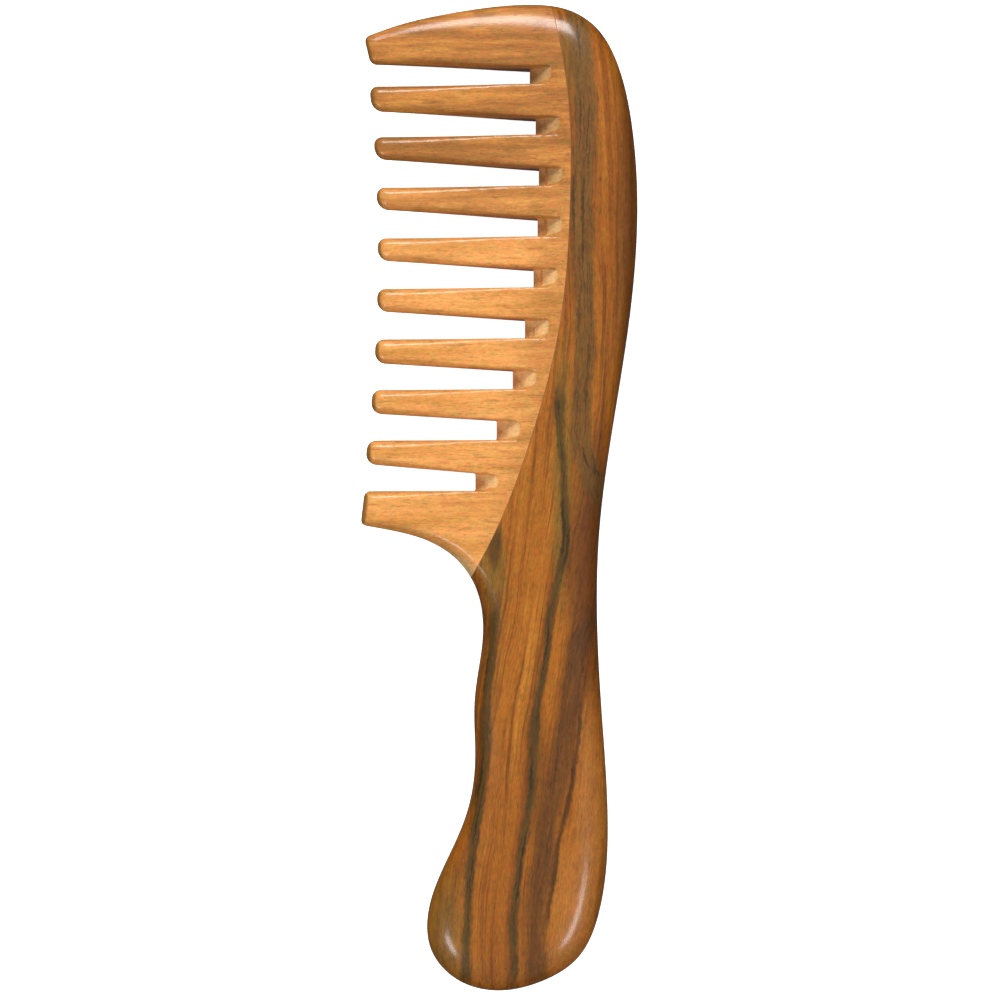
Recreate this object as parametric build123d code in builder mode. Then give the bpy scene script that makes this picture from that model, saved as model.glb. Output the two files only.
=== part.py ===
from build123d import *
import math
import os

# Handled wide tooth comb in two timbers, glued together with a hidden tongue and groove.
#
# The comb lies on its back: Z = 0 is the surface that it rests on, +Z is its front face,
# +Y runs along the handle to the head, and the teeth point to -X.
# The origin is under the middle of the comb. Front and back are mirror images.

os.makedirs("parts", exist_ok=True)

# ---- driving dimensions, mm ------------------------------------------------------------

THICKNESS = 12.0
MIDDLE = THICKNESS / 2
CLEAR = 4.0                 # how far a cutter reaches past the wood
BEYOND = 60.0               # a distance that is past the comb on every side

# Outer edge, clockwise from the tip of the upper guard tooth to the tip of the lower one.
HEAD_EDGE = [(-27.2, 93.5), (-20.1, 96.0), (-12.0, 97.9), (0.0, 99.7), (7.5, 100.0)]
HEAD_CORNER = [(14.2, 98.9), (19.9, 95.2), (24.0, 88.2)]
SPINE_EDGE = [(27.0, 75.6), (28.1, 57.6), (26.2, 34.0), (22.9, 13.0), (20.3, -8.0)]
HANDLE_EDGE = [(19.9, -22.0), (20.9, -44.0), (22.1, -66.0)]
BUTT_EDGE = [(20.6, -83.0), (15.8, -93.6), (8.5, -98.2), (0.0, -100.0), (-8.3, -97.9),
             (-13.9, -91.5), (-14.4, -84.0)]
GRIP_EDGE = [(-11.0, -74.3), (-6.6, -64.0), (-4.9, -53.0), (-5.0, -41.0), (-3.3, -28.0)]
NECK_EDGE = [(-4.4, -19.2), (-8.5, -12.7), (-15.0, -8.6), (-21.0, -6.9), (-28.2, -5.6)]
OUTER_EDGE = HEAD_EDGE + HEAD_CORNER + SPINE_EDGE + HANDLE_EDGE + BUTT_EDGE + GRIP_EDGE + NECK_EDGE

# Rounding of the outer edge: a quarter ellipse from the middle plane up to the face.
# Each station is a fraction of the edge's length, the reach in from the edge, and the height.
EDGE_ROUNDING = [
    (0.000, 2.2, 2.00),     # tip of the upper guard tooth
    (0.045, 4.6, 3.05),
    (0.090, 7.4, 4.75),     # root of the upper guard tooth
    (0.135, 8.4, 6.05),     # head corner
    (0.200, 7.6, 6.05),
    (0.400, 7.0, 6.05),     # spine
    (0.500, 8.0, 6.05),     # handle
    (0.600, 9.0, 6.05),     # butt
    (0.700, 9.0, 6.05),
    (0.800, 7.6, 6.05),     # grip
    (0.875, 6.0, 6.05),
    (0.915, 4.8, 5.60),     # neck
    (0.950, 3.0, 4.10),
    (1.000, 1.3, 2.20),     # tip of the lower guard tooth
]

EDGE_OVERSHOOT = 0.08       # the ellipse starts this far outside, which leaves a narrow flat band

# Line of the glued joint on the face, from the head down to the neck, run past both edges.
JOINT_LINE = [(9.8, 103.0), (12.2, 92.0), (14.1, 79.1), (14.4, 61.3), (12.3, 34.9), (6.4, 11.6),
              (0.2, -5.0), (-4.9, -15.0), (-9.0, -22.0)]
GLUE_FILM = 0.12
TONGUE_DEPTH = 5.0
TONGUE_THICKNESS = 4.0
TONGUE_TOP = 91.0           # the tongue stops short of both ends of the joint
TONGUE_BOTTOM = -5.0

# The faces fall from the spine to the tips of the teeth: half the thickness at each
# distance from the taper line towards the teeth.
TAPER_LINE = [(14.4, 112.0), (14.4, 61.3), (12.3, 34.9), (6.4, 11.6), (-3.2, -11.2), (-12.0, -30.0)]
TAPER = [(-8.0, 6.25), (0.0, 5.3), (7.0, 4.15), (20.0, 2.95), (38.0, 1.85), (50.0, 1.5)]

# Teeth. Gaps are counted from the head down. The lower side of each gap is square to the
# joint; its upper side slopes, which is what tapers the tooth above it.
GAP_COUNT = 9
GAP_PITCH = 10.26
FIRST_GAP_FLOOR = 83.4
GAP_ROOT_WIDTHS = [3.55, 3.7, 3.85, 3.95, 3.9, 3.95, 3.9, 4.05, 3.6]
GAP_MOUTH_WIDTHS = [4.45, 5.2, 5.7, 5.8, 5.7, 5.65, 5.4, 5.45, 5.5]
TIP_RADIUS = 350.0          # the tips lie on a shallow hollow arc
TIP_HOLLOW = (-24.65, 49.0)
ROOT_RADIUS = 142.0         # the roots lie on a bulging arc
ROOT_CREST = (8.0, 62.0)
RAMP_SLOPE = 1.0            # each root is sawn in at 45 degrees from both faces, to a ridge
CORNER_SLOPE = 0.36         # the ramp's lower corner opens out like a cone towards the face
CORNER_AT_RIDGE = 0.1
TIP_UPPER_RADIUS = 1.3
TIP_LOWER_RADIUS = 2.3
GUARD_CORNER_RADIUS = 1.0

# Rounding of the tips from face to face, up the line of tips: fraction, reach and height.
TIP_ROUNDING = [(0.00, 2.2, 2.75), (0.25, 2.2, 2.20), (0.50, 2.2, 1.95), (1.00, 2.2, 1.75)]
TIP_LINE_BOTTOM = -8.0
TIP_LINE_TOP = 97.0


# ---- helpers ---------------------------------------------------------------------------

def tip_x(y):
    """X of the line of tooth tips at height y."""
    return TIP_HOLLOW[0] - TIP_RADIUS + math.sqrt(TIP_RADIUS**2 - (y - TIP_HOLLOW[1]) ** 2)


def root_x(y):
    """X of the ridge at the root of a gap at height y."""
    return ROOT_CREST[0] - ROOT_RADIUS + math.sqrt(ROOT_RADIUS**2 - (y - ROOT_CREST[1]) ** 2)


def gap_outline(gap, depth):
    """Outline of a gap at a height above the middle plane, with the tooth corners beside it."""
    floor = FIRST_GAP_FLOOR - gap * GAP_PITCH
    root = root_x(floor + GAP_ROOT_WIDTHS[gap] / 2)
    end = root + depth * RAMP_SLOPE
    corner = CORNER_AT_RIDGE + depth * CORNER_SLOPE
    widening = (GAP_MOUTH_WIDTHS[gap] - GAP_ROOT_WIDTHS[gap]) / (root - tip_x(floor))
    ceiling_end = floor + GAP_ROOT_WIDTHS[gap] - widening * (end - root)
    low_tip = tip_x(floor - TIP_UPPER_RADIUS)
    high_tip = tip_x(floor + GAP_MOUTH_WIDTHS[gap] + TIP_LOWER_RADIUS)
    low_corner = floor - TIP_UPPER_RADIUS
    ceiling_mouth = ceiling_end + widening * (end - high_tip - TIP_LOWER_RADIUS)
    high_corner = ceiling_mouth + TIP_LOWER_RADIUS
    corner_start = high_tip + TIP_LOWER_RADIUS
    outside = low_tip - CLEAR
    with BuildSketch(Plane.XY.offset(MIDDLE + depth)) as outline:
        with BuildLine():
            Polyline((end, floor + corner), (end, ceiling_end), (corner_start, ceiling_mouth))
            RadiusArc((corner_start, ceiling_mouth), (high_tip, high_corner), TIP_LOWER_RADIUS)
            Polyline((high_tip, high_corner), (outside, high_corner), (outside, low_corner),
                     (low_tip, low_corner))
            RadiusArc((low_tip, low_corner), (low_tip + TIP_UPPER_RADIUS, floor), TIP_UPPER_RADIUS)
            Line((low_tip + TIP_UPPER_RADIUS, floor), (end - corner, floor))
            RadiusArc((end - corner, floor), (end, floor + corner), -corner)
        make_face()
    return outline.sketch


def section_plane(path, at):
    """Plane square to a flat path, with X to its right-hand side and Y towards the back."""
    along = path % at
    return Plane(origin=path @ at, x_dir=(along.Y, -along.X, 0), z_dir=along)


def rounding_section(path, at, reach, height):
    """Section of the cutter that rounds the back of an edge: what lies outside an ellipse."""
    ellipse_width = reach + EDGE_OVERSHOOT
    with BuildSketch(section_plane(path, at)) as section:
        with BuildLine():
            arc = EllipticalCenterArc((reach, 0), ellipse_width, height, start_angle=90, arc_size=90)
            Polyline(arc @ 0, (reach, MIDDLE + CLEAR), (-CLEAR, MIDDLE + CLEAR), (-CLEAR, 0), arc @ 1)
        make_face()
    return section.sketch


def joint_side(offset):
    """Plan of all that lies on the spine's side of the joint, moved towards the teeth."""
    with BuildSketch() as side:
        with BuildLine():
            joint = Spline(*[(x - offset, y) for x, y in JOINT_LINE])
            Polyline(joint @ 1, (-BEYOND, JOINT_LINE[-1][1]), (-BEYOND, -2 * BEYOND), (BEYOND, -2 * BEYOND),
                     (BEYOND, JOINT_LINE[0][1]), joint @ 0)
        make_face()
    return side.sketch


def joint_slab(near, far, top, bottom, thickness):
    """Slab about the middle plane between two lines beside the joint, near to far of it."""
    low = MIDDLE - thickness / 2
    with BuildPart() as slab:
        with BuildSketch(Plane.XY.offset(low)):
            with BuildLine():
                near_line = Spline(*[(x - near, y) for x, y in JOINT_LINE])
                far_line = Spline(*[(x - far, y) for x, y in JOINT_LINE])
                Line(near_line @ 0, far_line @ 0)
                Line(near_line @ 1, far_line @ 1)
            make_face()
        extrude(amount=thickness)
        with BuildSketch(Plane.XY.offset(low)):
            with Locations((0, (top + bottom) / 2)):
                Rectangle(2 * BEYOND, top - bottom)
        extrude(amount=thickness, mode=Mode.INTERSECT)
    return slab.part


# ---- the whole comb, before it is parted at the joint -----------------------------------

with BuildLine(Plane.XY.offset(MIDDLE)) as rim:
    Spline(*OUTER_EDGE)

with BuildLine(Plane.XY.offset(MIDDLE)) as tip_line:
    lowest = (tip_x(TIP_LINE_BOTTOM), TIP_LINE_BOTTOM)
    highest = (tip_x(TIP_LINE_TOP), TIP_LINE_TOP)
    ThreePointArc(lowest, TIP_HOLLOW, highest)

with BuildLine(Plane.XY.offset(MIDDLE)) as taper_line:
    Spline(*TAPER_LINE)

with BuildPart() as edge_cutter:
    stations = [rounding_section(rim.line, *station) for station in EDGE_ROUNDING]
    sweep(stations, path=rim.line, multisection=True)
    mirror(about=Plane.XY.offset(MIDDLE))

with BuildPart() as tip_cutter:
    stations = [rounding_section(tip_line.line, *station) for station in TIP_ROUNDING]
    sweep(stations, path=tip_line.line, multisection=True)
    mirror(about=Plane.XY.offset(MIDDLE))

with BuildPart() as taper_cutter:
    with BuildSketch(section_plane(taper_line.line, 0)):
        with BuildLine():
            fall = Spline(*TAPER)
            Polyline(fall @ 1, (TAPER[-1][0], MIDDLE + CLEAR), (TAPER[0][0], MIDDLE + CLEAR), fall @ 0)
        make_face()
    sweep(path=taper_line.line)
    mirror(about=Plane.XY.offset(MIDDLE))

with BuildPart() as gap_cutter:
    for gap in range(GAP_COUNT):
        loft([gap_outline(gap, 0), gap_outline(gap, MIDDLE + CLEAR / 4)], ruled=True)
    mirror(about=Plane.XY.offset(MIDDLE))

with BuildPart() as comb:
    with BuildSketch() as plan:
        with BuildLine():
            edge = Spline(*OUTER_EDGE)
            ThreePointArc(edge @ 1, TIP_HOLLOW, edge @ 0)
        make_face()
        fillet(plan.vertices(), GUARD_CORNER_RADIUS)
    extrude(amount=THICKNESS)
    add(gap_cutter.part, mode=Mode.SUBTRACT)
    add(tip_cutter.part, mode=Mode.SUBTRACT)
    add(taper_cutter.part, mode=Mode.SUBTRACT)
    add(edge_cutter.part, mode=Mode.SUBTRACT)

# ---- tongue and groove -------------------------------------------------------------------

groove = joint_slab(GLUE_FILM, -TONGUE_DEPTH, TONGUE_TOP, TONGUE_BOTTOM, TONGUE_THICKNESS)
tongue = joint_slab(TONGUE_DEPTH, GLUE_FILM - TONGUE_DEPTH, TONGUE_TOP - GLUE_FILM,
                    TONGUE_BOTTOM + GLUE_FILM, TONGUE_THICKNESS - 2 * GLUE_FILM)
joint_film = joint_slab(GLUE_FILM, 0, 2 * BEYOND, -2 * BEYOND, THICKNESS)

with BuildPart() as handle_spine:
    add(comb.part)
    with BuildSketch():
        add(joint_side(0))
    extrude(amount=THICKNESS, mode=Mode.INTERSECT)
    add(groove, mode=Mode.SUBTRACT)
handle_spine.part.label = "handle_spine"
export_step(handle_spine.part, "parts/handle_spine.step")

with BuildPart() as tooth_board:
    add(comb.part)
    with BuildSketch():
        add(joint_side(GLUE_FILM))
    extrude(amount=THICKNESS, mode=Mode.SUBTRACT)
    add(tongue)
tooth_board.part.label = "tooth_board"
export_step(tooth_board.part, "parts/tooth_board.step")

with BuildPart() as glue_line:
    add(comb.part)
    add(joint_film, mode=Mode.INTERSECT)
    add(groove)
    add(tongue, mode=Mode.SUBTRACT)
glue_line.part.label = "glue_line"
export_step(glue_line.part, "parts/glue_line.step")
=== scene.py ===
import math

import bmesh
import bpy
import numpy as np
import openvdb
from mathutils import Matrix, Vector


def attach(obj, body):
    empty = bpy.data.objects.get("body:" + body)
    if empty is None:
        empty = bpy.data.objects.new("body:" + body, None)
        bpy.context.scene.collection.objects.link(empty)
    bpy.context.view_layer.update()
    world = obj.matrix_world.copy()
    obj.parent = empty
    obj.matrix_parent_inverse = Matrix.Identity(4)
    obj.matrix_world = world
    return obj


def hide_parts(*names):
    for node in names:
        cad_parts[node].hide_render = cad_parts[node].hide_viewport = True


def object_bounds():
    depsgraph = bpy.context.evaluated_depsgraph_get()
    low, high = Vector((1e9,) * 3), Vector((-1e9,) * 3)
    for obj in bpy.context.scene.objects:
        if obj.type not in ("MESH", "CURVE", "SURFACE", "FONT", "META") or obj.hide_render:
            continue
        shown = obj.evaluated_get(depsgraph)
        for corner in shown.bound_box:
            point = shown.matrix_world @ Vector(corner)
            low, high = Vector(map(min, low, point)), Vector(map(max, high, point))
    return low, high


# Looks of the handled wide tooth comb: hand-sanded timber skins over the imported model.
#
# The skins are the comb's own shape, worked out as a field on a fine grid from the same driving
# sizes as the design, then meshed and parted at the glued joint. Sizes are in millimetres, with
# heights from the middle plane, until a mesh is written in metres in the shared frame.

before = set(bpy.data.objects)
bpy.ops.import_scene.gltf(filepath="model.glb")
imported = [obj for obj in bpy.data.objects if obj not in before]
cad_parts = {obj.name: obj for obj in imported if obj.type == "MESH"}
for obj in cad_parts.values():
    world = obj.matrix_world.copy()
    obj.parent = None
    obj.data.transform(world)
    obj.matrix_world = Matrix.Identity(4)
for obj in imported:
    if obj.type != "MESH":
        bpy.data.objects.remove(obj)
cad_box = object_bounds()

MM = 0.001
CAD_LOW, CAD_HIGH = (Vector(corner) for corner in cad_box)
MIDDLE = (CAD_LOW.z + CAD_HIGH.z) / 2
HALF_THICKNESS = (CAD_HIGH.z - CAD_LOW.z) / 2 / MM

# ---- driving sizes, the same as the design's ---------------------------------------------

HEAD_EDGE = [(-27.2, 93.5), (-20.1, 96.0), (-12.0, 97.9), (0.0, 99.7), (7.5, 100.0)]
HEAD_CORNER = [(14.2, 98.9), (19.9, 95.2), (24.0, 88.2)]
SPINE_EDGE = [(27.0, 75.6), (28.1, 57.6), (26.2, 34.0), (22.9, 13.0), (20.3, -8.0)]
HANDLE_EDGE = [(19.9, -22.0), (20.9, -44.0), (22.1, -66.0)]
BUTT_EDGE = [(20.6, -83.0), (15.8, -93.6), (8.5, -98.2), (0.0, -100.0), (-8.3, -97.9),
             (-13.9, -91.5), (-14.4, -84.0)]
GRIP_EDGE = [(-11.0, -74.3), (-6.6, -64.0), (-4.9, -53.0), (-5.0, -41.0), (-3.3, -28.0)]
NECK_EDGE = [(-4.4, -19.2), (-8.5, -12.7), (-15.0, -8.6), (-21.0, -6.9), (-28.2, -5.6)]
OUTER_EDGE = (HEAD_EDGE + HEAD_CORNER + SPINE_EDGE + HANDLE_EDGE + BUTT_EDGE + GRIP_EDGE
              + NECK_EDGE)

# Reach of the rounding in from the outer edge, at fractions of the edge's length.
EDGE_REACH = [(0.0, 2.2), (0.045, 4.6), (0.09, 7.4), (0.135, 8.4), (0.2, 7.6), (0.4, 7.0),
              (0.5, 8.0), (0.6, 9.0), (0.7, 9.0), (0.8, 7.6), (0.875, 6.0), (0.915, 4.8),
              (0.95, 3.0), (1.0, 1.3)]

# The glued joint between the two timbers, and the tongue on the tooth board that it hides.
JOINT_LINE = [(9.8, 103.0), (12.2, 92.0), (14.1, 79.1), (14.4, 61.3), (12.3, 34.9), (6.4, 11.6),
              (0.2, -5.0), (-4.9, -15.0), (-9.0, -22.0)]
JOINT_STEP = 0.1            # fall of the run that leads in to the joint line from the left
GLUE_FILM = 0.12
TONGUE_DEPTH = 5.0
TONGUE_THICKNESS = 4.0      # of the groove; the tongue is thinner by the glue on both sides
TONGUE_TOP = 91.0
TONGUE_BOTTOM = -5.0

# Half the thickness, at distances from this line towards the teeth.
TAPER_LINE = [(14.4, 112.0), (14.4, 61.3), (12.3, 34.9), (6.4, 11.6), (-3.2, -11.2),
              (-12.0, -30.0)]
TAPER = [(-9.0, 6.0), (-5.0, 5.85), (0.0, 5.3), (7.0, 4.15), (20.0, 2.95), (38.0, 1.85),
         (50.0, 1.5)]

# The gaps between the teeth, from the head down. Tips and roots lie on two shallow arcs, each
# given by its radius and its point furthest to the right.
GAP_COUNT = 9
GAP_PITCH = 10.26
FIRST_GAP_FLOOR = 83.4
GAP_ROOT_WIDTHS = [3.55, 3.7, 3.85, 3.95, 3.9, 3.95, 3.9, 4.05, 3.6]
GAP_MOUTH_WIDTHS = [4.45, 5.2, 5.7, 5.8, 5.7, 5.65, 5.4, 5.45, 5.5]
TIP_RADIUS = 350.0
TIP_HOLLOW = (-24.65, 49.0)
ROOT_RADIUS = 142.0
ROOT_CREST = (8.0, 62.0)
RAMP_SLOPE = 1.0            # lean of the ramp from the ridge at a gap's root up to the face
CORNER_AT_RIDGE = 0.1       # radius of the corner between ramp and tooth, and its growth upward
CORNER_SLOPE = 0.36

# Plan of the tips: corner radii of the inner teeth, and the end face of each guard tooth, given
# as the x and y of a point on it and its lean.
TIP_UPPER_RADIUS = 1.7
TIP_LOWER_RADIUS = 2.3
GUARD_TIP_ROUND = 1.2
GUARD_TIP_TOP = (-27.3, 92.9, 0.24)
GUARD_TIP_LOW = (-27.4, 0.5, -0.12)

# Rounding of the tooth edges, which grows from a start behind the ridge out to the tip. The
# spans are the shares of that way over which the width and the height of the rounding grow.
EASE_ROOT = 0.4
EASE_TIP = 1.9
EASE_START = 4.0
EASE_WIDTH_SPAN = (0.1, 1.0)
EASE_HEIGHT_SPAN = (0.1, 0.95)
EDGE_BLEND = 0.12           # width of the crease between outer edge and tooth edges

GRID = 0.36                 # spacing of the field that the skins are meshed from
MARGIN = 1.5                # empty border of the field
FAR = 40.0                  # further than any detail reaches
EDGE_POINTS = 420           # points that stand for the outer edge
JOINT_POINTS = 120          # points that stand for the joint line, and for the taper's line
DENSER = 8                  # extra points while a curve is measured along its length
FACE_ROUNDS = 4             # times the taper's slight corners are averaged away
TINY = 1e-6


# ---- curves and fields --------------------------------------------------------------------

def smooth_curve(points, count):
    """count points evenly spaced along the natural cubic spline through a few points."""
    points = np.array(points, float)
    knots = np.concatenate([[0.0], np.cumsum(np.linalg.norm(np.diff(points, axis=0), axis=1))])
    steps = np.diff(knots)
    size = len(points)
    matrix = np.eye(size)
    right = np.zeros_like(points)
    for i in range(1, size - 1):
        matrix[i, i - 1:i + 2] = steps[i - 1], 2 * (steps[i - 1] + steps[i]), steps[i]
        slope_after = (points[i + 1] - points[i]) / steps[i]
        slope_before = (points[i] - points[i - 1]) / steps[i - 1]
        right[i] = 6 * (slope_after - slope_before)
    bend = np.linalg.solve(matrix, right)

    def at(place):
        i = np.clip(np.searchsorted(knots, place, side="right") - 1, 0, size - 2)
        before = (knots[i + 1] - place)[:, None]
        after = (place - knots[i])[:, None]
        step = steps[i][:, None]
        return (bend[i] * before**3 / (6 * step) + bend[i + 1] * after**3 / (6 * step)
                + (points[i] / step - bend[i] * step / 6) * before
                + (points[i + 1] / step - bend[i + 1] * step / 6) * after)

    dense = at(np.linspace(0, knots[-1], count * DENSER))
    length = np.concatenate([[0.0], np.cumsum(np.linalg.norm(np.diff(dense, axis=0), axis=1))])
    even = np.linspace(0, length[-1], count)
    return np.stack([np.interp(even, length, dense[:, k]) for k in range(2)], axis=1)


def lengthen(curve, start, end):
    """The curve with a straight run added at each end, along its end directions."""
    def beyond(outer, inner, reach):
        return outer + (outer - inner) / np.linalg.norm(outer - inner) * reach
    return np.vstack([beyond(curve[0], curve[1], start), curve, beyond(curve[-1], curve[-2], end)])


def distance_to(curve, x, y):
    """Signed distance from a curve, positive to the right of its run, and the fraction of the
    run where it is nearest."""
    best = np.full(x.shape, np.inf)
    side = np.zeros(x.shape)
    place = np.zeros(x.shape)
    count = len(curve) - 1
    for i in range(count):
        start, run = curve[i], curve[i + 1] - curve[i]
        along = np.clip(((x - start[0]) * run[0] + (y - start[1]) * run[1]) / (run @ run), 0, 1)
        off_x = x - start[0] - along * run[0]
        off_y = y - start[1] - along * run[1]
        gap = off_x * off_x + off_y * off_y
        closer = gap < best
        best = np.where(closer, gap, best)
        side = np.where(closer, run[1] * off_x - run[0] * off_y, side)
        place = np.where(closer, (i + along) / count, place)
    return np.sqrt(best) * np.sign(side), place


def tip_x(y):
    """X of the line of tooth tips at height y."""
    return TIP_HOLLOW[0] - TIP_RADIUS + np.sqrt(TIP_RADIUS**2 - (y - TIP_HOLLOW[1]) ** 2)


def root_x(y):
    """X of the ridge at the root of a gap at height y."""
    return ROOT_CREST[0] - ROOT_RADIUS + np.sqrt(ROOT_RADIUS**2 - (y - ROOT_CREST[1]) ** 2)


def smooth_step(low, high, value):
    """0 below low, 1 above high, and a smooth change between them."""
    share = np.clip((value - low) / (high - low), 0, 1)
    return share * share * (3 - 2 * share)


def smooth_max(a, b, blend):
    """The larger of two fields, with the crease between them rounded off."""
    share = np.clip(blend - np.abs(a - b), 0, None) / blend
    return np.maximum(a, b) + share * share * blend / 4


def round_corner(a, b, radius):
    """Depth inside two walls that meet in an outside corner of a given radius."""
    inner = np.minimum(a, b)
    arc = radius - np.hypot(np.maximum(radius - a, 0), np.maximum(radius - b, 0))
    return np.where((a < radius) & (b < radius), arc, inner)


def fill_corner(a, b, radius):
    """Depth inside either of two walls that meet in an inside corner of a given radius."""
    arc = np.hypot(np.maximum(a + radius, 0), np.maximum(b + radius, 0)) - radius
    return np.where((a > -radius) & (b > -radius), arc, np.maximum(a, b))


def eased_edge(depth, reach, over, height):
    """Field of a wall whose top edge is an elliptical round: negative inside the wood.

    depth is the way in from the wall, reach the round's width, over the way above its
    start, and height the round's height. The field is k0, which is 1 on the round, turned
    into a distance by its own slope k1.
    """
    u = np.maximum(reach - depth, 0) / reach
    v = np.maximum(over, 0) / height
    k0 = np.sqrt(u * u + v * v)
    k1 = np.sqrt((u / reach) ** 2 + (v / height) ** 2)
    inside = -np.minimum(reach, height)
    return np.where(k1 > TINY, (k0 - 1) * k0 / np.maximum(k1, TINY), inside)


def gap_floor(gap):
    """Height of a gap's lower side, which is the level upper side of the tooth below it."""
    return FIRST_GAP_FLOOR - gap * GAP_PITCH


def gap_middle(gap):
    """Height of the middle of a gap at its root."""
    return gap_floor(gap) + GAP_ROOT_WIDTHS[gap] / 2


def ridge_x(y):
    """X of the root ridge at each height, the same for half a pitch either side of a gap's
    middle. The ridges of the first and the last gap go on to the ends of the teeth."""
    ridge = np.zeros_like(y)
    for gap in range(GAP_COUNT):
        middle = gap_middle(gap)
        above = GAP_PITCH / 2 + (FAR if gap == 0 else 0)
        below = GAP_PITCH / 2 + (FAR if gap in (0, GAP_COUNT - 1) else 0)
        beside = (y >= middle - below) & (y < middle + above)
        ridge = np.where(beside, root_x(middle), ridge)
    return ridge


def behind_face(x, y, face):
    """Depth behind a guard tooth's end face, a point on it and its lean."""
    face_x, face_y, lean = face
    return x - face_x - (face_y - y) * lean


def tooth_depth(x, y, edge_depth, tooth):
    """Depth inside one tooth, between the gaps above and below it and behind its rounded tip,
    and the depth below its upper side. A guard tooth has the outer edge on its other side."""
    upper = edge_depth
    lower = edge_depth
    if tooth > 0:
        upper = gap_floor(tooth - 1) - y
    if tooth < GAP_COUNT:
        floor_y = gap_floor(tooth)
        root = root_x(gap_middle(tooth))
        widening = (GAP_MOUTH_WIDTHS[tooth] - GAP_ROOT_WIDTHS[tooth]) / (root - tip_x(floor_y))
        lower = y - floor_y - GAP_ROOT_WIDTHS[tooth] - widening * (root - x)
    behind_tip = x - tip_x(y)
    if tooth == 0:
        behind_tip = behind_face(x, y, GUARD_TIP_TOP)
    if tooth == GAP_COUNT:
        behind_tip = behind_face(x, y, GUARD_TIP_LOW)
    inner = 0 < tooth < GAP_COUNT
    top = round_corner(upper, behind_tip, TIP_UPPER_RADIUS if inner else GUARD_TIP_ROUND)
    low = round_corner(lower, behind_tip, TIP_LOWER_RADIUS if inner else GUARD_TIP_ROUND)
    return np.minimum(top, low), upper


def soften(values, rounds):
    """A 2-D field smoothed a little by repeated averaging with its neighbours."""
    for _ in range(rounds):
        padded = np.pad(values, 1, mode="edge")
        values = (padded[1:-1, 1:-1] * 4 + padded[:-2, 1:-1] + padded[2:, 1:-1]
                  + padded[1:-1, :-2] + padded[1:-1, 2:]) / 8
    return values


def teeth_depth(x, y, z, edge_depth, ridge):
    """Depth inside the teeth and the body behind them at height z over the middle plane."""
    body = (x - ridge - z * RAMP_SLOPE) / math.hypot(1, RAMP_SLOPE)
    corner = CORNER_AT_RIDGE + z * CORNER_SLOPE
    teeth = np.full_like(x, -FAR)
    for tooth in range(GAP_COUNT + 1):
        depth, upper = tooth_depth(x, y, edge_depth, tooth)
        if tooth:
            # The gap above this tooth has a rounded corner between its floor and the ramp.
            filled = fill_corner(np.minimum(body, FAR), upper, corner)
            in_gap = (upper < 0) & (upper > -GAP_PITCH / 2)
            depth = np.where(in_gap, np.maximum(depth, filled), depth)
        teeth = np.maximum(teeth, depth)
    return np.maximum(teeth, body)


def comb_field():
    """The whole comb as a field on a grid, negative inside the wood, and the grid's low corner."""
    low = np.array([CAD_LOW.x, CAD_LOW.y]) / MM - MARGIN
    high = np.array([CAD_HIGH.x, CAD_HIGH.y]) / MM + MARGIN
    layers = int(math.ceil((HALF_THICKNESS + MARGIN) / GRID))
    counts = np.ceil((high - low) / GRID).astype(int) + 1
    across = low[0] + GRID * np.arange(counts[0])
    along = low[1] + GRID * np.arange(counts[1])
    x, y = np.meshgrid(across, along, indexing="ij")

    rim = lengthen(smooth_curve(OUTER_EDGE, EDGE_POINTS), FAR / 2, FAR / 2)
    edge_depth, place = distance_to(rim, x, y)
    reach = np.interp(place, *np.array(EDGE_REACH).T)
    to_teeth, _ = distance_to(smooth_curve(TAPER_LINE, JOINT_POINTS), x, y)
    face = soften(np.interp(to_teeth, *np.array(TAPER).T), FACE_ROUNDS)

    ridge = ridge_x(y)
    start = ridge + EASE_START
    outward = np.clip((start - x) / (start - tip_x(y)), 0, 1)
    ease = EASE_ROOT + (EASE_TIP - EASE_ROOT) * smooth_step(*EASE_WIDTH_SPAN, outward)
    ease_height = EASE_ROOT + (face - EASE_ROOT) * smooth_step(*EASE_HEIGHT_SPAN, outward)
    ease_height = np.minimum(ease_height, face)

    half = np.zeros((counts[0], counts[1], layers + 1), np.float32)
    for layer in range(layers + 1):
        z = layer * GRID
        outer = eased_edge(edge_depth, reach, np.full_like(x, z), face)
        teeth = teeth_depth(x, y, z, edge_depth, ridge)
        cut = eased_edge(teeth, ease, z - (face - ease_height), ease_height)
        half[:, :, layer] = smooth_max(outer, cut, EDGE_BLEND)
    field = np.concatenate([half[:, :, :0:-1], half], axis=2)
    return field, (low[0], low[1], -layers * GRID)


def mesh_of_field(field, corner, name):
    """A closed mesh of the field's zero surface, in metres in the shared frame."""
    grid = openvdb.FloatGrid(background=float(MARGIN))
    grid.copyFromArray(np.ascontiguousarray(field, dtype=np.float32))
    points, quads = grid.convertToQuads(isovalue=0.0)
    places = (points * GRID + np.array(corner)) * MM
    places[:, 2] += MIDDLE
    mesh = bpy.data.meshes.new(name)
    mesh.from_pydata(places.tolist(), [], quads.tolist())
    mesh.update()
    return mesh


# ---- solids that part the skin ------------------------------------------------------------

def joint_points(shift):
    """The joint line moved towards the teeth, as one run from the butt to the head."""
    line = smooth_curve(JOINT_LINE, JOINT_POINTS)[::-1] - (shift, 0)
    below_line = line[0][1] - JOINT_STEP
    lead_in = [(-2 * FAR, -4 * FAR), (-2 * FAR, below_line)]
    return np.vstack([lead_in, line, (line[-1][0], 3 * FAR)])


def between(points, low, high):
    """The stretch of an upward run of points between two heights."""
    inside = points[(points[:, 1] > low) & (points[:, 1] < high)]
    ends = [(np.interp(y, points[:, 1], points[:, 0]), y) for y in (low, high)]
    return np.vstack([ends[0], inside, ends[1]])


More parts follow.
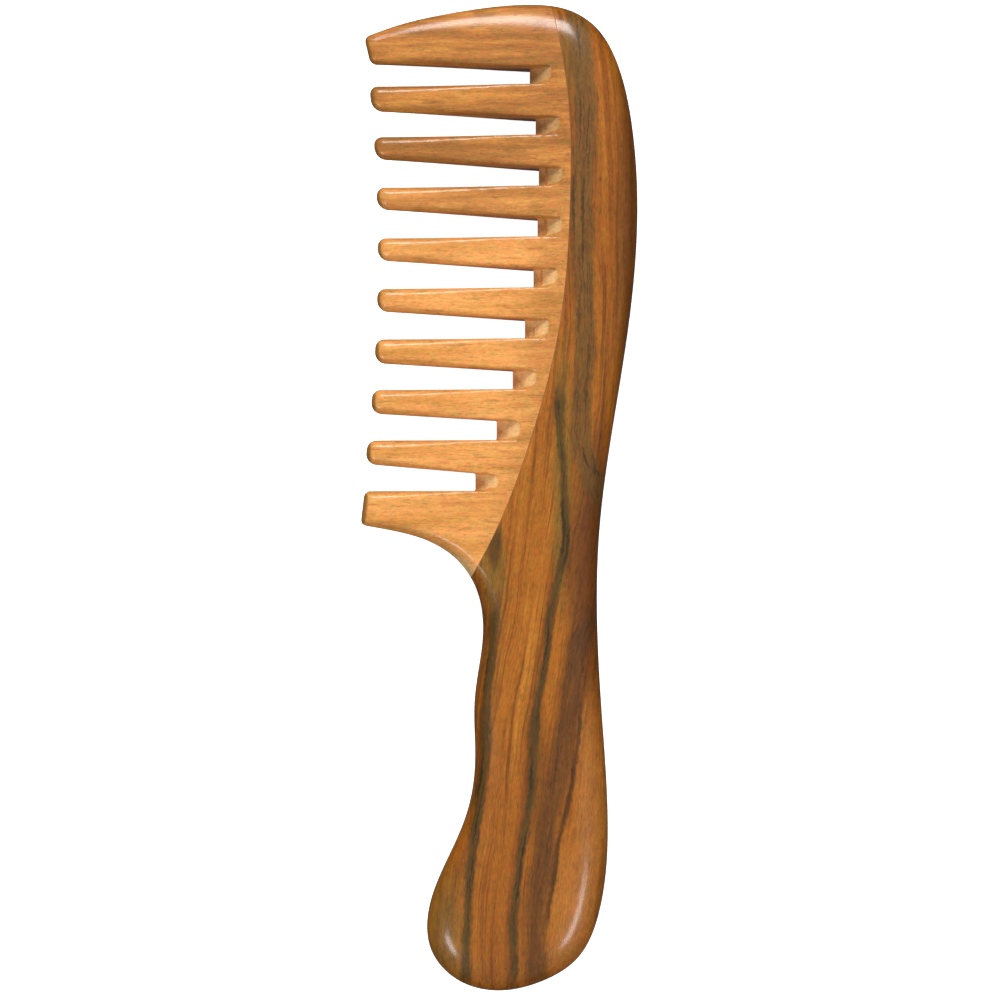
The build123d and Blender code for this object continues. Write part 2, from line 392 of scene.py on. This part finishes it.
def slab(name, left, right, half_height):
    """Closed mesh between two upward runs with the same heights, about the middle plane."""
    count = len(left)
    mesh = bpy.data.meshes.new(name)
    points = [(x * MM, y * MM, MIDDLE + z * MM) for z in (-half_height, half_height)
              for run in (left, right) for x, y in run]
    a, b, c, d = (np.arange(count) + k * count for k in range(4))
    faces = []
    for i in range(count - 1):
        faces.append((a[i], a[i + 1], b[i + 1], b[i]))
        faces.append((c[i], d[i], d[i + 1], c[i + 1]))
        faces.append((a[i], c[i], c[i + 1], a[i + 1]))
        faces.append((b[i], b[i + 1], d[i + 1], d[i]))
    faces.append((a[0], b[0], d[0], c[0]))
    faces.append((a[-1], c[-1], d[-1], b[-1]))
    mesh.from_pydata(points, [], [tuple(int(v) for v in face) for face in faces])
    work = bmesh.new()
    work.from_mesh(mesh)
    bmesh.ops.recalc_face_normals(work, faces=work.faces)
    work.to_mesh(mesh)
    work.free()
    solid = bpy.data.objects.new(name, mesh)
    bpy.context.scene.collection.objects.link(solid)
    return solid


def combined(base, name, *steps):
    """A new object: base after boolean steps, each an operation and a cutting solid."""
    piece = bpy.data.objects.new(name, base.data.copy())
    bpy.context.scene.collection.objects.link(piece)
    for operation, cutter in steps:
        modifier = piece.modifiers.new(operation, "BOOLEAN")
        modifier.operation = operation
        modifier.object = cutter
        modifier.solver = "MANIFOLD"
    bpy.context.view_layer.update()
    depsgraph = bpy.context.evaluated_depsgraph_get()
    mesh = bpy.data.meshes.new_from_object(piece.evaluated_get(depsgraph))
    piece.modifiers.clear()
    piece.data = mesh
    mesh.name = name
    return piece


def make_skins():
    """The three visible pieces: spine and handle, tooth board, and the glue between them."""
    field, corner = comb_field()
    whole = bpy.data.objects.new("whole", mesh_of_field(field, corner, "whole"))
    bpy.context.scene.collection.objects.link(whole)
    line, film_line = joint_points(0), joint_points(GLUE_FILM)
    far_right = np.stack([np.full(len(line), 3 * FAR), line[:, 1]], axis=1)
    spine_side = slab("spine_side", line, far_right, 2 * HALF_THICKNESS)
    film_side = slab("film_side", film_line, far_right, 2 * HALF_THICKNESS)
    groove_run = between(film_line, TONGUE_BOTTOM, TONGUE_TOP)
    groove = slab("groove", groove_run, groove_run + (TONGUE_DEPTH + GLUE_FILM, 0),
                  TONGUE_THICKNESS / 2)
    tongue_run = between(film_line, TONGUE_BOTTOM + GLUE_FILM, TONGUE_TOP - GLUE_FILM)
    tongue = slab("tongue", tongue_run - (TONGUE_DEPTH, 0), tongue_run + (TONGUE_DEPTH, 0),
                  TONGUE_THICKNESS / 2 - GLUE_FILM)
    spine = combined(whole, "handle_spine_skin", ("INTERSECT", spine_side), ("DIFFERENCE", groove))
    board = combined(whole, "tooth_board_skin", ("DIFFERENCE", film_side), ("UNION", tongue))
    glue = combined(whole, "glue_line_skin", ("INTERSECT", film_side), ("DIFFERENCE", spine_side),
                    ("UNION", groove), ("DIFFERENCE", tongue))
    for helper in (whole, spine_side, film_side, groove, tongue):
        bpy.data.objects.remove(helper)
    return spine, board, glue


def shade_softly(piece, sharpest):
    """Smooth shading, with a crisp edge only where the mesh turns sharply."""
    mesh = piece.data
    mesh.shade_smooth()
    work = bmesh.new()
    work.from_mesh(mesh)
    for edge in work.edges:
        edge.smooth = edge.calc_face_angle(0) < sharpest
    work.to_mesh(mesh)
    work.free()


# ---- nodes for the materials --------------------------------------------------------------

HUE_SWING = 0.35            # how far the wood's hue drifts between redder and greener fibres
PATH_REACH = 110.0          # node lines are drawn within this distance of the middle, in mm


def tint(red, green, blue):
    """A display colour from 0 to 255 as the linear colour that the shaders take, by the
    standard display curve."""
    def linear(value):
        share = value / 255
        return share / 12.92 if share <= 0.04045 else ((share + 0.055) / 1.055) ** 2.4
    return linear(red), linear(green), linear(blue), 1.0


class Recipe:
    """One material's nodes. Each method adds a node and gives back its output."""

    def __init__(self, name):
        self.material = bpy.data.materials.new(name)
        self.material.use_nodes = True
        self.nodes = self.material.node_tree.nodes
        self.links = self.material.node_tree.links
        self.nodes.clear()

    def add(self, kind, inputs, output=0, **settings):
        """A node with its settings, and its inputs linked or set by name or number."""
        made = self.nodes.new(kind)
        for key, value in settings.items():
            setattr(made, key, value)
        for key, value in inputs.items():
            if isinstance(value, bpy.types.NodeSocket):
                self.links.new(value, made.inputs[key])
            else:
                made.inputs[key].default_value = value
        return made.outputs[output]

    def number(self, operation, *values):
        return self.add("ShaderNodeMath", dict(enumerate(values)), operation=operation)

    def sum(self, *values):
        total = values[0]
        for value in values[1:]:
            total = self.number("ADD", total, value)
        return total

    def times(self, *values):
        total = values[0]
        for value in values[1:]:
            total = self.number("MULTIPLY", total, value)
        return total

    def step(self, value, low, high, start=0.0, end=1.0):
        """start below low, end above high, and a smooth change between them."""
        return self.add("ShaderNodeMapRange", {0: value, 1: low, 2: high, 3: start, 4: end},
                        interpolation_type="SMOOTHSTEP")

    def noise(self, x, y, z, sizes, detail=3.0, roughness=0.55):
        """Noise from 0 to 1 whose features measure sizes along x, y and z, in millimetres."""
        scaled = [self.number("DIVIDE", value, size) for value, size in zip((x, y, z), sizes)]
        place = self.add("ShaderNodeCombineXYZ", dict(enumerate(scaled)))
        return self.add("ShaderNodeTexNoise", {
            "Vector": place, "Scale": 1.0, "Detail": detail, "Roughness": roughness})

    def wander(self, x, y, z, sizes, reach):
        """Noise about zero that strays by up to about reach."""
        return self.times(self.number("SUBTRACT", self.noise(x, y, z, sizes), 0.5), 2 * reach)

    def mix(self, share, first, second, blend="MIX"):
        """The first colour, with a share of the second over it. 0, 6 and 7 are the node's
        factor and its two colours, and 2 is its colour output."""
        return self.add("ShaderNodeMix", {0: share, 6: first, 7: second}, output=2,
                        data_type="RGBA", blend_type=blend)

    def tinged(self, colour, drift, value):
        """The colour made lighter or darker by value, and redder or greener by the drift."""
        swing = self.times(self.sum(drift, -0.5), HUE_SWING)
        red = self.times(value, self.sum(1.0, swing))
        green = self.times(value, self.sum(1.0, self.times(swing, -1.0)))
        shade = self.add("ShaderNodeCombineColor", {0: red, 1: green, 2: value})
        return self.mix(1.0, colour, shade, "MULTIPLY")

    def ramp(self, value, stops):
        """A colour that runs through stops (place, colour) as the value rises."""
        made = self.nodes.new("ShaderNodeValToRGB")
        self.links.new(value, made.inputs[0])
        row = made.color_ramp.elements
        while len(row) < len(stops):
            row.new(0.5)
        for element, (place, colour) in zip(row, stops):
            element.position = place
            element.color = colour
        return made.outputs[0]

    def path(self, y, points):
        """X of a line through points (x, y), as a value that depends on y."""
        share = self.add("ShaderNodeMapRange", {0: y, 1: -PATH_REACH, 2: PATH_REACH})
        made = self.nodes.new("ShaderNodeFloatCurve")
        self.links.new(share, made.inputs["Value"])
        rising = sorted((y, x) for x, y in points)
        drawn = made.mapping.curves[0].points
        while len(drawn) < len(rising):
            drawn.new(0.5, 0.5)
        for point, (y_at, x_at) in zip(drawn, rising):
            point.location = (y_at / PATH_REACH + 1) / 2, (x_at / PATH_REACH + 1) / 2
        made.mapping.update()
        return self.times(self.number("SUBTRACT", made.outputs[0], 0.5), 2 * PATH_REACH)

    def place(self):
        """Place in the shared frame in millimetres, the same for the whole solid piece of wood."""
        where = self.add("ShaderNodeTexCoord", {}, output="Object")
        split = self.nodes.new("ShaderNodeSeparateXYZ")
        self.links.new(where, split.inputs[0])
        return [self.times(split.outputs[k], 1 / MM) for k in range(3)]

    def facing(self, axis):
        """How squarely the surface faces along one axis, from 0 to 1, either way."""
        split = self.nodes.new("ShaderNodeSeparateXYZ")
        self.links.new(self.add("ShaderNodeNewGeometry", {}, output="Normal"), split.inputs[0])
        return self.number("ABSOLUTE", split.outputs[axis])

    def surface(self, inputs):
        """The material, with one shader that has these inputs as its surface."""
        shader = self.add("ShaderNodeBsdfPrincipled", inputs)
        out = self.nodes.new("ShaderNodeOutputMaterial")
        self.links.new(shader, out.inputs["Surface"])
        return self.material

    def finish(self, colour, roughness, height, relief, coat, coat_roughness, specular):
        """Colour, roughness and relief from nodes, and a thin hand-rubbed coat."""
        bump = self.add("ShaderNodeBump", {
            "Strength": 1.0, "Distance": relief * MM, "Height": height})
        return self.surface({
            "Base Color": colour, "Roughness": roughness, "Normal": bump, "Coat Weight": coat,
            "Coat Roughness": coat_roughness, "Specular IOR Level": specular})


# ---- sanded surface that both timbers share ---------------------------------------------------

PORE_SPAN = (0.56, 0.70)    # level of the fleck noise where open pores begin and are at their full
ROUGH_BY_LAYER = {"fibres": 0.12, "mottle": 0.10, "pores": 0.08}
HEIGHT_BY_LAYER = {"fibres": 0.5, "mottle": 0.5, "pores": -0.6}
RELIEF = 0.03               # height of the fibres left by hand sanding, in mm
SPECULAR = 0.18


def weighted(wood, layers, weights, base=0.0):
    """base plus each named layer times its weight."""
    return wood.sum(base, *(wood.times(layers[name], share) for name, share in weights.items()))


def sanded(wood, colour, place, grain, sizes, brightness, roughness, coat, coat_roughness,
           shade=1.0):
    """The finished material: fine fibres, pores, mottling and speckle over a timber's colour.

    place is where a point is and grain the same with the grain straightened. sizes gives each
    layer's feature sizes in millimetres, brightness its base and the weight of each layer, and
    shade a further share of that brightness.
    """
    flecks = wood.noise(*grain, sizes["flecks"], detail=1.0, roughness=0.5)
    layers = {
        "fibres": wood.noise(*grain, sizes["fibres"], detail=2.0, roughness=0.6),
        "mottle": wood.noise(*place, sizes["mottle"], detail=2.0, roughness=0.5),
        "pores": wood.step(flecks, *PORE_SPAN),
        "speckle": wood.noise(*grain, sizes["speckle"], detail=2.0, roughness=0.7)}
    base, weights = brightness
    value = wood.times(weighted(wood, layers, weights, base), shade)
    colour = wood.tinged(colour, wood.noise(*grain, sizes["drift"]), value)
    rough = weighted(wood, layers, ROUGH_BY_LAYER, roughness)
    height = weighted(wood, layers, HEIGHT_BY_LAYER)
    return wood.finish(colour, rough, height, RELIEF, coat, coat_roughness, SPECULAR)


# ---- timber of the spine and handle -------------------------------------------------------

# The lie of the grain, and the lines of the dark streaks, down the spine and handle.
GRAIN_LINE = [(16.0, 100.0), (17.0, 60.0), (16.6, 30.0), (14.0, 0.0), (11.0, -20.0),
              (7.4, -44.0), (5.5, -65.0), (3.0, -84.0), (2.5, -100.0)]
SPINE_STREAK = [(15.4, 101.0), (15.8, 95.7), (17.2, 79.7), (16.8, 59.7), (17.2, 31.6),
                (16.6, 19.6), (16.4, 11.5), (17.8, 6.0), (19.5, 2.0), (21.5, -4.0)]
CENTRE_STREAK = [(12.5, 25.5), (12.1, 13.9), (12.9, 7.5), (13.2, -0.5), (13.2, -10.9),
                 (11.4, -17.9), (10.2, -26.0), (9.2, -33.4), (7.4, -43.4), (6.8, -55.2),
                 (5.5, -65.3), (3.9, -75.2), (3.1, -83.9), (2.9, -93.5), (2.6, -101.0)]
LEFT_STREAK = [(-0.6, -18.0), (-0.9, -24.0), (-2.4, -41.2), (-3.0, -54.2), (-4.3, -63.1),
               (-5.6, -73.9), (-6.5, -86.9), (-6.7, -95.7), (-6.8, -101.0)]
RIGHT_BAND = [(20.5, -19.0), (18.4, -24.2), (16.4, -28.2), (14.8, -35.2), (13.3, -45.6),
              (12.0, -53.4), (9.8, -67.4), (8.5, -76.0), (7.4, -84.7), (7.6, -93.3),
              (7.6, -101.0)]
RIGHT_LINE = [(17.0, -38.0), (16.2, -44.8), (15.2, -53.8), (12.0, -69.5), (10.6, -76.9),
              (9.4, -88.0)]

ORANGE = tint(169, 99, 22)
GOLD = tint(190, 122, 38)
RUST = tint(132, 70, 12)
BROWN = tint(96, 50, 8)
UMBER = tint(74, 46, 8)
OLIVE = tint(120, 92, 30)
NEAR_BLACK = tint(44, 30, 8)
# pale orange laid on only as painted sheen along the right rim
PAINTED_SHEEN_ORANGE = tint(178, 110, 40)

# Broad changes of colour, among them painted shade and painted sheen, each with its middle, reach
# along x and y, strength and colour.
SPOTS = [
    ((19.0, -14.0), (7.5, 34.0), 0.8, BROWN),           # red-brown wood right of the neck
    ((16.5, 55.0), (5.0, 60.0), 0.15, BROWN),           # the spine beside its streak
    ((26.5, 55.0), (5.0, 65.0), 0.75, BROWN),           # painted shade: the spine's rounded back made darker brown
    ((14.5, -86.0), (6.0, 22.0), 0.85, PAINTED_SHEEN_ORANGE),    # painted sheen: pale orange on the butt's rounded lower right
    # painted sheen along the handle's rounded right edge
    ((19.0, -62.0), (4.5, 26.0), 0.7, PAINTED_SHEEN_ORANGE),
    ((-1.5, -13.0), (3.6, 13.0), 0.7, OLIVE),           # green-brown wood at the neck
    ((-1.3, -9.0), (2.2, 7.0), 0.75, UMBER),
    ((-11.5, -88.0), (5.5, 18.0), 0.55, OLIVE),         # the left of the butt
    ((15.5, 90.0), (3.5, 13.0), 0.5, OLIVE),            # the head
    ((12.6, 4.0), (2.8, 34.0), 0.7, OLIVE),             # beside the joint
    ((-1.0, -78.0), (9.0, 42.0), 0.3, RUST),            # the middle of the handle
    ((8.4, -56.0), (2.6, 18.0), 0.5, UMBER),
]

# Each streak has its line, half width, softness outside that, strength, colour and share of
# black hairs.
STREAKS = [
    (RIGHT_BAND, 0.8, 2.6, 0.85, tint(94, 56, 18), 0.5),
    (RIGHT_LINE, 0.15, 0.6, 0.85, UMBER, 0.4),
    (SPINE_STREAK, 1.5, 1.2, 0.8, tint(106, 74, 30), 0.75),
    (LEFT_STREAK, 0.45, 1.1, 0.9, tint(78, 58, 16), 0.8),
    (CENTRE_STREAK, 0.35, 1.0, 0.95, tint(84, 60, 18), 0.9),
]

SPINE_SIZES = {
    "fibres": (0.28, 5.0, 0.4), "flecks": (0.16, 1.7, 0.2), "mottle": (2.5, 3.5, 2.5),
    "speckle": (0.5, 1.3, 0.6), "drift": (0.8, 3.0, 0.8)}
SPINE_BRIGHTNESS = (0.18, {"fibres": 0.54, "mottle": 0.36, "pores": -0.25, "speckle": 0.76})


def streak(wood, colour, x, y, z, line, half_width, softness, strength, dark, hairs):
    """The colour with one dark streak of the wood laid over it, and black hairs within it."""
    bottom = min(point[1] for point in line)
    top = max(point[1] for point in line)
    slow = wood.wander(x, y, z, (3.0, 9.0, 6.0), 0.7)
    quick = wood.wander(x, y, z, (0.8, 1.8, 1.5), 0.5)
    off = wood.sum(x, slow, quick, wood.times(wood.path(y, line), -1.0))
    breadth = wood.sum(0.55, wood.times(wood.noise(x, y, z, (9.0, 14.0, 9.0)), 0.9))
    away = wood.number("DIVIDE", wood.number("ABSOLUTE", off), breadth)
    core = wood.step(away, half_width, half_width + softness, 1.0, 0.0)
    fade_in = wood.step(y, bottom - 1, bottom + 6)
    fade_out = wood.step(y, top - 7, top + 1, 1.0, 0.0)
    patchy = wood.sum(0.62, wood.times(wood.noise(off, y, z, (0.5, 7.0, 2.0)), 0.7))
    share = wood.times(core, fade_in, fade_out, patchy, strength)
    share = wood.number("MINIMUM", share, 1.0)
    colour = wood.mix(share, colour, dark)
    threads = wood.step(wood.noise(off, y, z, (0.45, 16.0, 2.0), detail=2.0), 0.50, 0.64)
    return wood.mix(wood.times(share, threads, hairs), colour, NEAR_BLACK)


def dab(wood, x, y, middle, reach):
    """1 at a place on the face, falling off smoothly to 0 at reach from it along x and y."""
    across = wood.number("DIVIDE", wood.sum(x, -middle[0]), reach[0])
    along = wood.number("DIVIDE", wood.sum(y, -middle[1]), reach[1])
    away = wood.sum(wood.times(across, across), wood.times(along, along))
    return wood.step(away, 0.05, 1.0, 1.0, 0.0)


def dark_timber():
    """Orange-brown wood of the spine and handle, with near-black streaks along it."""
    wood = Recipe("spine_timber")
    x, y, z = wood.place()
    strayed = wood.sum(x, wood.wander(x, y, z, (16.0, 50.0, 14.0), 2.4))
    across = wood.sum(strayed, wood.times(wood.path(y, GRAIN_LINE), -1.0))

    bands = wood.noise(across, y, z, (3.4, 120.0, 9.0), detail=4.0, roughness=0.6)
    colour = wood.ramp(bands, [(0.32, RUST), (0.46, ORANGE), (0.56, ORANGE), (0.68, GOLD)])
    lines = wood.noise(across, y, z, (0.9, 60.0, 4.0), detail=3.0, roughness=0.6)
    colour = wood.mix(wood.step(lines, 0.50, 0.68, 0.0, 0.65), colour, BROWN)

    ragged = wood.sum(strayed, wood.wander(x, y, z, (2.0, 14.0, 5.0), 1.2))
    for middle, reach, strength, shade in SPOTS:
        spot = dab(wood, ragged, y, middle, reach)
        colour = wood.mix(wood.times(spot, strength), colour, shade)
    for features in STREAKS:
        colour = streak(wood, colour, x, y, z, *features)

    # End grain, where the surface faces along the handle, is a little darker.
    end_shade = wood.step(wood.facing(1), 0.55, 0.95, 1.0, 0.86)
    return sanded(wood, colour, (x, y, z), (across, y, z), SPINE_SIZES, SPINE_BRIGHTNESS,
                  roughness=0.34, coat=0.65, coat_roughness=0.2, shade=end_shade)


# ---- timber of the tooth board ------------------------------------------------------------

HONEY = tint(226, 153, 78)
AMBER = tint(238, 167, 92)
TAN = tint(206, 137, 60)
NUT = tint(170, 106, 46)
WALNUT = tint(146, 96, 38)
SAWN_LIGHT = tint(246, 202, 138)
SAWN_DARK = tint(196, 156, 102)

BOARD_SIZES = {
    "fibres": (4.5, 0.26, 0.4), "flecks": (1.3, 0.2, 0.25), "mottle": (3.0, 2.0, 2.0),
    "speckle": (0.9, 0.5, 0.6), "drift": (3.0, 0.7, 0.8)}
BOARD_BRIGHTNESS = (0.40, {"fibres": 0.44, "mottle": 0.24, "pores": -0.24, "speckle": 0.60})


def light_timber():
    """Honey-coloured wood of the tooth board, grained along the teeth and duller to the head."""
    wood = Recipe("board_timber")
    x, y, z = wood.place()
    strayed = wood.sum(y, wood.wander(x, y, z, (30.0, 10.0, 8.0), 1.0))

    bands = wood.noise(x, strayed, z, (38.0, 2.2, 4.0), detail=4.0, roughness=0.6)
    warm = wood.ramp(bands, [(0.32, TAN), (0.48, HONEY), (0.68, AMBER)])
    dull = wood.ramp(bands, [(0.32, WALNUT), (0.5, NUT), (0.68, TAN)])
    stray_up = wood.sum(y, wood.wander(x, y, z, (20.0, 12.0, 12.0), 9.0))
    headward = wood.step(stray_up, 42.0, 74.0)
    rootward = wood.step(wood.sum(x, wood.times(y, -0.12)), -4.0, 6.0, 0.0, 0.5)
    colour = wood.mix(wood.number("MAXIMUM", headward, rootward), warm, dull)
    lines = wood.noise(x, strayed, z, (6.0, 0.8, 1.4), detail=3.0, roughness=0.65)
    colour = wood.mix(wood.step(lines, 0.53, 0.72, 0.0, 0.5), colour, WALNUT)
    patches = wood.step(wood.noise(x, strayed, z, (7.0, 2.4, 3.0), detail=2.0), 0.52, 0.68)
    patchy = wood.sum(0.12, wood.times(headward, 0.45))
    colour = wood.mix(wood.times(patches, patchy), colour, WALNUT)

    # Sawn across the grain, at the tooth roots and tips, the wood is duller and blotchy, and
    # the tips' rounded ends are made darker still.
    blotches = wood.noise(x, y, z, (1.8, 1.4, 1.8), detail=3.0, roughness=0.6)
    uneven = wood.times(wood.sum(blotches, -0.5), 0.8)
    sawn = wood.mix(wood.sum(headward, uneven), SAWN_LIGHT, SAWN_DARK)
    sawn = wood.mix(wood.step(x, -23.0, -19.0), WALNUT, sawn)
    colour = wood.mix(wood.step(wood.facing(0), 0.45, 0.75, 0.0, 0.85), colour, sawn)
    return sanded(wood, colour, (x, y, z), (x, strayed, z), BOARD_SIZES, BOARD_BRIGHTNESS,
                  roughness=0.36, coat=0.6, coat_roughness=0.22)


def wood_glue():
    """Dull brown glue with a fine grit."""
    glue = Recipe("joint_glue")
    place = glue.place()
    patches = glue.noise(*place, (1.5, 2.5, 1.5))
    grit = glue.noise(*place, (0.2, 0.3, 0.2))
    colour = glue.mix(patches, tint(104, 66, 32), tint(150, 98, 50))
    rough = glue.sum(0.5, glue.times(grit, 0.2))
    return glue.finish(colour, rough, grit, relief=0.01, coat=0.0, coat_roughness=0.3,
                       specular=0.4)


# ---- stage ---------------------------------------------------------------------------------

ROOM_ABOVE = 0.34           # brightness of the white room above the table and below it
ROOM_BELOW = 0.06
ROOM_SPAN = (-0.1, 0.25)    # upward part of a direction over which the brightness changes
CAMERA_PLACE = (0.0002, -0.0005, MIDDLE + 0.495)
CAMERA_LENS = 87.8
SENSOR_WIDTH = 36.0
NEAREST_SEEN = 0.01
FURTHEST_SEEN = 50.0
FLOOR_WIDTH = 12.0

# Soft lights: name, place, point they face, width, height and watts.
LIGHTS = [
    ("head_strip", (-0.03, 0.55, 0.46), (0.0, 0.05, 0.0), 0.29, 0.24, 4.2),
    ("low_right", (0.39, -0.33, 0.43), (0.0, -0.05, 0.0), 0.26, 0.09, 1.0),
    ("low_left", (-0.38, -0.33, 0.40), (0.0, -0.05, 0.0), 0.24, 0.10, 1.1),
]


def soft_light(name, place, aim, width, height, watts):
    """A rectangular soft light at a place, turned towards a point."""
    lamp = bpy.data.lights.new(name, "AREA")
    lamp.shape = "RECTANGLE"
    lamp.size = width
    lamp.size_y = height
    lamp.energy = watts
    light = bpy.data.objects.new(name, lamp)
    light.location = place
    light.rotation_euler = (Vector(aim) - Vector(place)).to_track_quat("-Z", "Y").to_euler()
    bpy.context.scene.collection.objects.link(light)


def floor():
    """A plain white table that fades into a white room. It lights nothing and isn't mirrored."""
    half = FLOOR_WIDTH / 2
    corners = [(-half, -half, 0), (half, -half, 0), (half, half, 0), (-half, half, 0)]
    mesh = bpy.data.meshes.new("floor")
    mesh.from_pydata(corners, [], [(0, 1, 2, 3)])
    table = bpy.data.objects.new("floor", mesh)
    table.location.z = CAD_LOW.z
    bpy.context.scene.collection.objects.link(table)
    mesh.materials.append(Recipe("white_paper").surface({
        "Base Color": (0.9, 0.9, 0.9, 1.0), "Roughness": 0.9, "Specular IOR Level": 0.1,
        "Emission Color": (1.0, 1.0, 1.0, 1.0), "Emission Strength": 0.95}))
    table.visible_diffuse = False
    table.visible_glossy = False


def studio():
    """White surroundings, a broad key light from beyond the head and two weaker side lights."""
    world = bpy.data.worlds.new("studio")
    world.use_nodes = True
    nodes, links = world.node_tree.nodes, world.node_tree.links
    split = nodes.new("ShaderNodeSeparateXYZ")
    links.new(nodes.new("ShaderNodeTexCoord").outputs["Generated"], split.inputs[0])
    rising = nodes.new("ShaderNodeMapRange")
    links.new(split.outputs[2], rising.inputs[0])
    for socket, value in enumerate((*ROOM_SPAN, ROOM_BELOW, ROOM_ABOVE), start=1):
        rising.inputs[socket].default_value = value
    nodes["Background"].inputs["Color"].default_value = (1.0, 1.0, 1.0, 1.0)
    links.new(rising.outputs[0], nodes["Background"].inputs["Strength"])
    bpy.context.scene.world = world
    for light in LIGHTS:
        soft_light(*light)


def camera():
    """Straight above the face, with the head up."""
    seen = bpy.data.cameras.new("camera")
    seen.lens = CAMERA_LENS
    seen.sensor_width = SENSOR_WIDTH
    seen.clip_start = NEAREST_SEEN
    seen.clip_end = FURTHEST_SEEN
    view = bpy.data.objects.new("camera", seen)
    view.location = CAMERA_PLACE
    bpy.context.scene.collection.objects.link(view)
    bpy.context.scene.camera = view
    bpy.context.scene.view_settings.view_transform = "Standard"


# ---- putting it together ---------------------------------------------------------------------

SHARPEST_TURN = math.radians(50)

# Each piece has the node that it replaces, its slot and the function that makes its material.
PIECES = [
    ("handle_spine", "dark_timber", dark_timber),
    ("tooth_board", "light_timber", light_timber),
    ("glue_line", "wood_glue", wood_glue),
]

for skin, (node, slot, make_material) in zip(make_skins(), PIECES):
    shade_softly(skin, SHARPEST_TURN)
    skin.data.materials.clear()
    skin.data.materials.append(make_material())
    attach(skin, "root")
    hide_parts(node)

floor()
studio()
camera()
